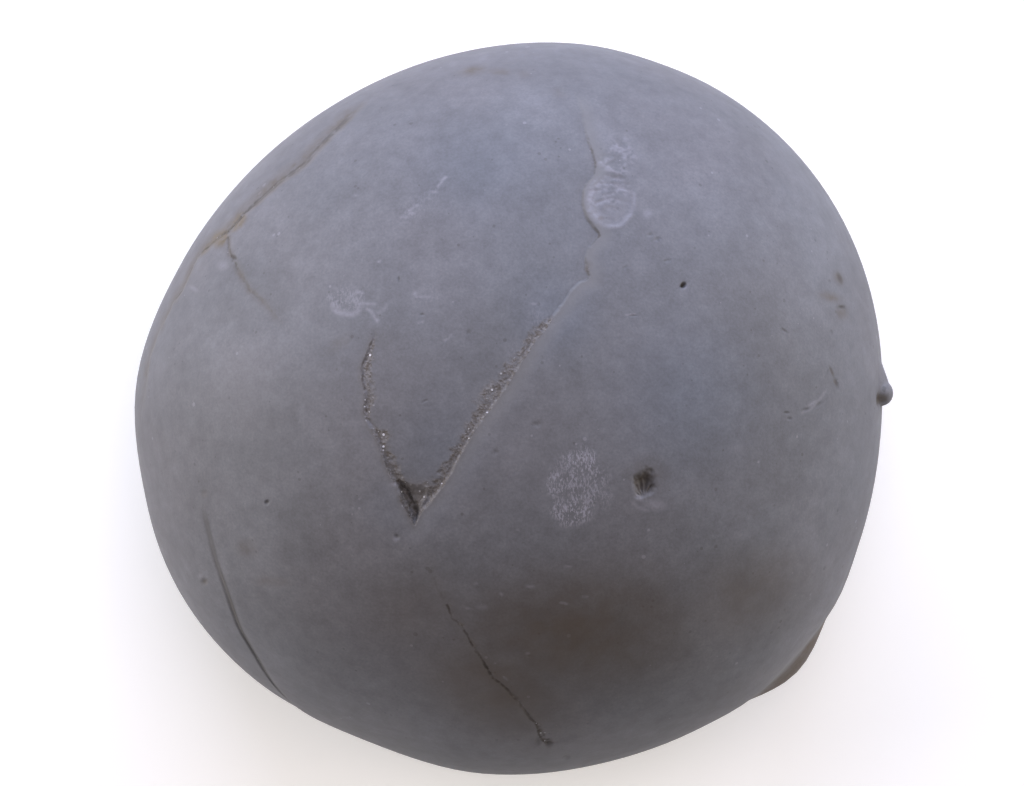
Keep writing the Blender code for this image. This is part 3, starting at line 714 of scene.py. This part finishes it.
def relief(points, normals):
    """How far each point of the smooth form sinks along its normal, and the masks of its colours."""
    masks = {name: np.zeros(len(points)) for name in MASKS}
    sunk = np.zeros(len(points))
    for crack in CRACKS:
        cut_crack(crack, points, normals, sunk, masks)
    cut_tip(points, sunk, masks)
    cut_scar(points, sunk, masks)
    cut_torn_pit(points, sunk, masks)
    cut_dents(points, sunk, masks)
    grit = rough_ripple(points, *GRIT_SIZES, "grit")
    sunk += GRIT_DEPTH * masks["broken"] * grit
    sunk -= knob(points)
    sunk -= LOW_LUMP[4] * wall_bump(points, *LOW_LUMP[:4])
    sunk += KNOB_HOLLOW[4] * wall_bump(points, *KNOB_HOLLOW[:4])
    for x, y, level, half_x, half_y, depth in (MOUTH, VENT):
        sunk += depth * bump(points, (x, y, level), (half_x, half_y, max(half_x, half_y)))
    colour_marks(points, masks)
    colour_walls(points, masks)
    return sunk, masks


def patch_places(x, y, half_along, half_across, turn=0):
    """Points of the dome over a turned oval patch, no further apart than the place step."""
    cos, sin = math.cos(math.radians(turn)), math.sin(math.radians(turn))
    spots = []
    for along in np.arange(-half_along, half_along + PLACE_STEP, PLACE_STEP):
        for across in np.arange(-half_across, half_across + PLACE_STEP, PLACE_STEP):
            if math.hypot(along / (half_along + PLACE_STEP), across / (half_across + PLACE_STEP)) <= 1:
                spots.append((x + along * cos - across * sin, y + along * sin + across * cos))
    return on_dome(spots)


def crack_places(crack, fine):
    """Points over a crack's edge and, for the fine rounds, over its broken band."""
    way, _, bands, _ = read_way(crack)
    run = np.gradient(way, axis=0)
    out = way - (*PLAN_CENTRE, WIDEST_LEVEL / 2)
    low_side = np.cross(out, run) * crack["low"]
    low_side /= np.linalg.norm(low_side, axis=1)[:, None]
    lines = [way]
    if fine:
        lines += [way + low_side * (bands * share)[:, None] for share in (0.5, 1.0)]
    return np.vstack(lines)


def places_to_split(rounds):
    """Points of the smooth form that the mesh is split around in this round."""
    fine = rounds > COARSE_ROUNDS
    places = [crack_places(crack, fine) for crack in CRACKS if rounds <= crack["splits"]]
    places.append(patch_places(*TORN_PIT, *TORN_HALF))
    places.append(patch_places(*np.mean(TIP_CORNERS, axis=0), *TIP_HALF))
    places += [on_dome(mark[:2]) for mark in DENTS]
    if rounds < len(SPLIT_REACH):
        places.append(patch_places(*SCAR, *SCAR_HALF))
        places.append(patch_places(*ROUGH_PATCH))
        places += [patch_places(*mark[:5]) for mark in BRUISES[:2]]
        places += [patch_places(*mark[:5]) for mark in PALE_PATCHES]
        for _, _, way in SCRATCHES:
            halfway = [np.mean(pair, axis=0) for pair in zip(way, way[1:])]
            places.append(on_dome([*way, *halfway]))
        places.append(np.array([on_wall(KNOB[0] + turn, KNOB[1] + rise) for turn, rise in KNOB_PLACES]))
    if not fine:
        places += [patch_places(*mark[:5]) for mark in STAINS]
        for x, y, level, half_x, half_y, _ in (MOUTH, VENT):
            for share in (0.5, 1.0):
                out_x, out_y = share * half_x, share * half_y
                places.append(np.array([(x + out_x * math.cos(t), y + out_y * math.sin(t), level)
                                        for t in np.linspace(0, math.tau, RING_PLACES, endpoint=False)]))
    return np.vstack(places)


def put(name, data):
    """A new object in the scene."""
    thing = bpy.data.objects.new(name, data)
    bpy.context.scene.collection.objects.link(thing)
    return thing


def read_points(mesh):
    return np.array([vert.co for vert in mesh.verts])


def refine(mesh, places, reach):
    """Splits the edges that have an end within reach of the places, on the unit ball."""
    tree = kdtree.KDTree(len(places))
    for index, place in enumerate(places):
        tree.insert(place, index)
    tree.balance()
    near = [tree.find(point)[2] < reach for point in form(read_points(mesh))]
    mesh.verts.index_update()
    edges = [edge for edge in mesh.edges if any(near[vert.index] for vert in edge.verts)]
    bmesh.ops.subdivide_edges(mesh, edges=edges, cuts=1, use_grid_fill=True)
    bmesh.ops.triangulate(mesh, faces=mesh.faces[:])
    for vert in mesh.verts:
        vert.co.normalize()


def place_points(mesh, points):
    for vert, point in zip(mesh.verts, points):
        vert.co = point
    mesh.normal_update()


def make_stone():
    """The whole finished fossil as one closed mesh in the solid's box, with its masks as attributes."""
    mesh = bmesh.new()
    bmesh.ops.create_icosphere(mesh, subdivisions=BALL_SUBDIVISIONS, radius=1)
    for rounds, reach in enumerate(SPLIT_REACH, start=1):
        refine(mesh, places_to_split(rounds), reach)
    place_points(mesh, form(read_points(mesh)))
    points = read_points(mesh)
    normals = np.array([vert.normal for vert in mesh.verts])
    sunk, masks = relief(points, normals)
    worn = points + normals * (unevenness(points) - sunk)[:, None]
    resting = points[:, 2] < 0
    worn[resting, 2] += -points[resting, 2]
    lowest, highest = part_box(NODE)
    worn = np.clip(worn * MM, lowest, highest)
    place_points(mesh, worn)
    stone_mesh = bpy.data.meshes.new("finished_stone")
    mesh.to_mesh(stone_mesh)
    mesh.free()
    stone_mesh.shade_smooth()
    for name, values in masks.items():
        attribute = stone_mesh.attributes.new(name, "FLOAT", "POINT")
        attribute.data.foreach_set("value", np.clip(values, 0, 1).astype(np.float32))
    return put("finished_stone", stone_mesh)


# -------- materials

STONE_GREY = (0.115, 0.119, 0.136, 1)
STONE_WARM = (0.120, 0.119, 0.134, 1)
STONE_COOL = (0.110, 0.120, 0.148, 1)
# paler walls: weathering and painted sheen
WEATHERED_AND_SHEEN = (0.144, 0.144, 0.150, 1)
# worn edge of the cracks: wear and painted highlight
WORN_EDGE_AND_HIGHLIGHT = (0.145, 0.143, 0.150, 1)
GRIT_DARK = (0.092, 0.081, 0.075, 1)
GRIT = (0.127, 0.117, 0.117, 1)
GRIT_PALE = (0.175, 0.168, 0.173, 1)
CRYSTAL = (0.55, 0.55, 0.60, 1)
CHALK = (0.27, 0.265, 0.315, 1)
STAIN = (0.088, 0.075, 0.066, 1)
CRUST = (0.114, 0.092, 0.066, 1)
# dark specks, and painted shade in hollows
DARK_SPECKS_AND_SHADE = (0.030, 0.026, 0.022, 1)
# the cracks' dark line: dirt and painted shade
CREVICE_DIRT_AND_SHADE = (0.036, 0.030, 0.026, 1)
# brown of the low lump and underside, and painted warm shade over the lower front
BROWN_AND_WARM_SHADE = (0.078, 0.056, 0.038, 1)
# Blotchy colours: mask, colour, size and roughness of the noise, the range of it that is used, and the
# share of the mask that is left where it is least.
BLOTCHES = (
    ("brown_and_warm_shade", BROWN_AND_WARM_SHADE, 2.5, 0.5, 0.3, 0.6, 0.7),
    ("stain", STAIN, 1.0, 0.65, 0.35, 0.65, 0.45),
    ("crust", CRUST, 0.5, 0.7, 0.4, 0.6, 0.5),
)


def add(tree, kind, inputs=None, output=0, **settings):
    """A new node's output. An input is a plain value or another node's output."""
    node = tree.nodes.new(kind)
    for name, value in settings.items():
        setattr(node, name, value)
    for name, value in (inputs or {}).items():
        if isinstance(value, bpy.types.NodeSocket):
            tree.links.new(value, node.inputs[name])
        else:
            node.inputs[name].default_value = value
    return node.outputs[output]


def combine(tree, operation, first, second):
    return add(tree, "ShaderNodeMath", {0: first, 1: second}, operation=operation)


def times(tree, first, second):
    return combine(tree, "MULTIPLY", first, second)


def span(tree, value, low, high, to_low=0.0, to_high=1.0):
    """value taken from low..high to to_low..to_high, and held there."""
    return add(tree, "ShaderNodeMapRange", {"Value": value, "From Min": low, "From Max": high,
                                            "To Min": to_low, "To Max": to_high})


def mix_colour(tree, share, first, second):
    """first where share is 0, second where it is 1."""
    node = tree.nodes.new("ShaderNodeMix")
    node.data_type = "RGBA"
    for socket, value in ((node.inputs[0], share), (node.inputs[6], first), (node.inputs[7], second)):
        if isinstance(value, bpy.types.NodeSocket):
            tree.links.new(value, socket)
        else:
            socket.default_value = value
    return node.outputs[2]


def swirl(tree, where, size, detail=2.0, roughness=0.5, distortion=0.0):
    """Noise from 0 to 1 about 0.5, with swells of that many millimetres."""
    return add(tree, "ShaderNodeTexNoise", {"Vector": where, "Scale": 1 / size, "Detail": detail,
                                            "Roughness": roughness, "Distortion": distortion})


def cells(tree, where, size):
    """The node of a pattern of cells that many millimetres apart."""
    node = tree.nodes.new("ShaderNodeTexVoronoi")
    node.inputs["Scale"].default_value = 1 / size
    tree.links.new(where, node.inputs["Vector"])
    return node


def specks(tree, where, spacing, patch_size, sizes_from, largest):
    """1 in small round specks and 0 round them. They are larger in some patches and missing in others."""
    sizes = span(tree, swirl(tree, where, patch_size, 1.0), *sizes_from, 0.0, largest)
    return combine(tree, "LESS_THAN", cells(tree, where, spacing).outputs["Distance"], sizes)


def stone_material():
    """Worn grey limestone: mottled and finely grained, with broken grit, stains and chalky bruises, and
    with painted shade in its cracks and hollows and painted light and sheen on parts of the dome and
    walls.
    """
    material = bpy.data.materials.new("worn_grey_stone")
    material.use_nodes = True
    tree = material.node_tree
    shader = tree.nodes["Principled BSDF"]
    place = add(tree, "ShaderNodeTexCoord", output=3)
    where = add(tree, "ShaderNodeVectorMath", {0: place, "Scale": 1 / MM}, operation="SCALE")
    masks = {name: add(tree, "ShaderNodeAttribute", output=2, attribute_name=name) for name in MASKS}

    def lay_on(share, tint):
        """Puts a colour over those before it."""
        nonlocal colour
        colour = mix_colour(tree, share, colour, tint)

    # slow change of tint, then mottling at three sizes
    warmth = span(tree, swirl(tree, where, 22.0, 3.0), 0.35, 0.65)
    colour = mix_colour(tree, warmth, STONE_GREY, STONE_WARM)
    # paler walls: weathering and painted sheen
    lay_on(masks["weathered_and_sheen"], WEATHERED_AND_SHEEN)
    lay_on(masks["cool"], STONE_COOL)
    cloud = span(tree, swirl(tree, where, 9.0, 4.0, 0.6), 0.3, 0.7, 0.89, 1.11)
    mottle = span(tree, swirl(tree, where, 1.9, 5.0, 0.7), 0.3, 0.7, 0.86, 1.14)
    grain = swirl(tree, where, 0.28, 3.0, 0.6)
    fine = span(tree, grain, 0.3, 0.7, 0.87, 1.13)
    tone = times(tree, times(tree, cloud, mottle), fine)
    # painted light: the tone made up to 18 % lighter in those patches
    tone = times(tree, tone, span(tree, masks["light"], 0.0, 1.0, 1.0, 1.18))
    colour = add(tree, "ShaderNodeVectorMath", {0: colour, "Scale": tone}, operation="SCALE")

    # dark and pale specks
    dark_specks = specks(tree, where, 1.3, 3.0, (0.45, 0.75), 0.2)
    lay_on(times(tree, dark_specks, 0.3), DARK_SPECKS_AND_SHADE)
    shifted = add(tree, "ShaderNodeVectorMath", {0: where, 1: (31.7, 8.3, 12.9)}, operation="ADD")
    pale_specks = specks(tree, shifted, 1.7, 4.0, (0.5, 0.75), 0.16)
    lay_on(times(tree, pale_specks, 0.35), CHALK)

    # worn edges, paler as wear and as a painted highlight; brown walls, partly painted warm shade, and
    # stains
    lay_on(times(tree, masks["worn_edge_and_highlight"], 0.7), WORN_EDGE_AND_HIGHLIGHT)
    for name, tint, size, roughness, low, high, least in BLOTCHES:
        blotch = span(tree, swirl(tree, where, size, 4.0, roughness), low, high, least, 1.0)
        lay_on(times(tree, masks[name], blotch), tint)

    # bruises: short pale streaks that mostly run up and down the dome
    streak_place = add(tree, "ShaderNodeMapping", {"Vector": where, "Scale": (5.6, 2.6, 3.0),
                                                   "Rotation": (0, 0, math.radians(8))})
    streaks = add(tree, "ShaderNodeTexNoise", {"Vector": streak_place, "Scale": 1.0, "Detail": 3.0,
                                               "Roughness": 0.65, "Distortion": 0.4})
    clumps = span(tree, swirl(tree, where, 1.1, 2.0), 0.35, 0.65, -0.07, 0.05)
    streak = span(tree, combine(tree, "ADD", streaks, clumps), 0.46, 0.6)
    bruise = times(tree, masks["bruise"], streak)
    lay_on(bruise, CHALK)
    pale_edge = span(tree, swirl(tree, where, 0.35, 3.0, 0.65), 0.3, 0.6, 0.45, 1.0)
    lay_on(times(tree, masks["pale"], pale_edge), CHALK)

    # broken stone: fine grains, each with a shade of its own, and a few small bright crystals
    grains = cells(tree, where, 0.22)
    shade = add(tree, "ShaderNodeSeparateColor", {"Color": grains.outputs["Color"]})
    grit = mix_colour(tree, span(tree, shade, 0.1, 0.6), GRIT_DARK, GRIT)
    grit = mix_colour(tree, span(tree, shade, 0.6, 0.95), grit, GRIT_PALE)
    broken_edge = span(tree, swirl(tree, where, 0.6, 4.0, 0.6), 0.35, 0.6, 0.3, 1.1)
    broken = add(tree, "ShaderNodeMath", {0: masks["broken"], 1: broken_edge},
                 operation="MULTIPLY", use_clamp=True)
    lay_on(broken, grit)
    # the cracks' dark line: painted shade with dirt
    lay_on(masks["crevice_dirt_and_shade"], CREVICE_DIRT_AND_SHADE)
    # painted shade in hollows
    lay_on(masks["hollow_shade"], DARK_SPECKS_AND_SHADE)
    crystals = cells(tree, where, 0.45)
    lit = add(tree, "ShaderNodeSeparateColor", {"Color": crystals.outputs["Color"]})
    crystal_sizes = span(tree, lit, 0.66, 1.0, 0.0, 0.3)
    crystal = combine(tree, "LESS_THAN", crystals.outputs["Distance"], crystal_sizes)
    lay_on(times(tree, crystal, broken), CRYSTAL)
    tree.links.new(colour, shader.inputs["Base Color"])

    # roughness: satin where worn, dry where broken
    satin = span(tree, grain, 0.3, 0.7, 0.6, 0.72)
    dry = combine(tree, "MAXIMUM", broken, combine(tree, "MAXIMUM", masks["crevice_dirt_and_shade"], masks["hollow_shade"]))
    rough = add(tree, "ShaderNodeMapRange", {"Value": dry, "To Min": satin, "To Max": 0.85})
    tree.links.new(rough, shader.inputs["Roughness"])

    # fine relief
    pores = span(tree, swirl(tree, where, 0.7, 5.0, 0.7), 0.25, 0.45, 0.0, 0.5)
    height = combine(tree, "ADD", times(tree, grain, 0.6), pores)
    height = combine(tree, "ADD", height, times(tree, bruise, 0.8))
    rough_height = times(tree, grains.outputs["Distance"], 3.0)
    height = combine(tree, "ADD", height, times(tree, rough_height, broken))
    normal = add(tree, "ShaderNodeBump", {"Height": height, "Distance": 0.025 * MM, "Strength": 0.7})
    tree.links.new(normal, shader.inputs["Normal"])
    return material


def floor_material():
    """Pale and matt, with a faint glow that keeps it near white."""
    material = bpy.data.materials.new("pale_floor")
    material.use_nodes = True
    shader = material.node_tree.nodes["Principled BSDF"]
    shader.inputs["Base Color"].default_value = FLOOR_PALE
    shader.inputs["Roughness"].default_value = 0.9
    shader.inputs["Specular IOR Level"].default_value = 0.1
    shader.inputs["Emission Color"].default_value = WHITE
    shader.inputs["Emission Strength"].default_value = FLOOR_GLOW
    return material


# -------- stage, light and camera

# The floor and the lamps are in metres.
FLOOR_HALF = 3.0
FLOOR_PALE = (0.88, 0.88, 0.88, 1)
FLOOR_GLOW = 0.30
WHITE = (1, 1, 1, 1)
LAMP_DISTANCE = 1.2
LAMP_SIZE = 0.9
LAMPS = (  # name, bearing and height in degrees, power, colour
    ("left", 166, 14, 15.6, (1.07, 1, 0.95)),
    ("right", 18, 14, 8.0, (1.14, 1, 0.74)),
    ("back_right", 46, 14, 6.4, (0.86, 1, 1.50)),
    ("back", 95, 24, 11.3, (0.89, 1, 1.35)),
    ("above", 30, 80, 5.8, (1.12, 1, 0.98)),
)
CAMERA_PLACE = (-0.26, 1.63)
CAMERA_HEIGHT = 620.0
VIEW_BREADTH = 107.52
VIEW_LEVEL = 16.5
SENSOR = 36.0
CLIP_START = 0.01


def make_floor():
    mesh = bmesh.new()
    bmesh.ops.create_grid(mesh, x_segments=1, y_segments=1, size=FLOOR_HALF)
    floor_mesh = bpy.data.meshes.new("floor")
    mesh.to_mesh(floor_mesh)
    mesh.free()
    floor_mesh.materials.append(floor_material())
    return put("floor", floor_mesh)


def make_light():
    """Large soft lamps low round the back and sides, with a weak one above, in a dark room."""
    world = bpy.data.worlds.new("dark_room")
    bpy.context.scene.world = world
    world.use_nodes = True
    world.node_tree.nodes["Background"].inputs["Strength"].default_value = 0
    for name, bearing, height, power, colour in LAMPS:
        lamp = bpy.data.lights.new(name, "AREA")
        lamp.size = LAMP_SIZE
        lamp.energy = power
        lamp.color = colour
        turn, rise = math.radians(bearing), math.radians(height)
        out = math.cos(rise)
        way = Vector((math.cos(turn) * out, math.sin(turn) * out, math.sin(rise)))
        stand = put(name, lamp)
        stand.location = way * LAMP_DISTANCE
        stand.rotation_euler = way.to_track_quat("Z", "Y").to_euler()


def make_camera():
    """Straight over the stone, with +Y up in the picture."""
    lens = bpy.data.cameras.new("camera")
    lens.sensor_width = SENSOR
    lens.lens = SENSOR * (CAMERA_HEIGHT - VIEW_LEVEL) / VIEW_BREADTH
    lens.clip_start = CLIP_START
    camera = put("camera", lens)
    camera.location = Vector((*CAMERA_PLACE, CAMERA_HEIGHT)) * MM
    bpy.context.scene.camera = camera


stone = make_stone()
stone.data.materials.append(stone_material())
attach(stone, "root")
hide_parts(NODE)
make_floor()
make_light()
make_camera()
bpy.context.scene.view_settings.view_transform = "Standard"
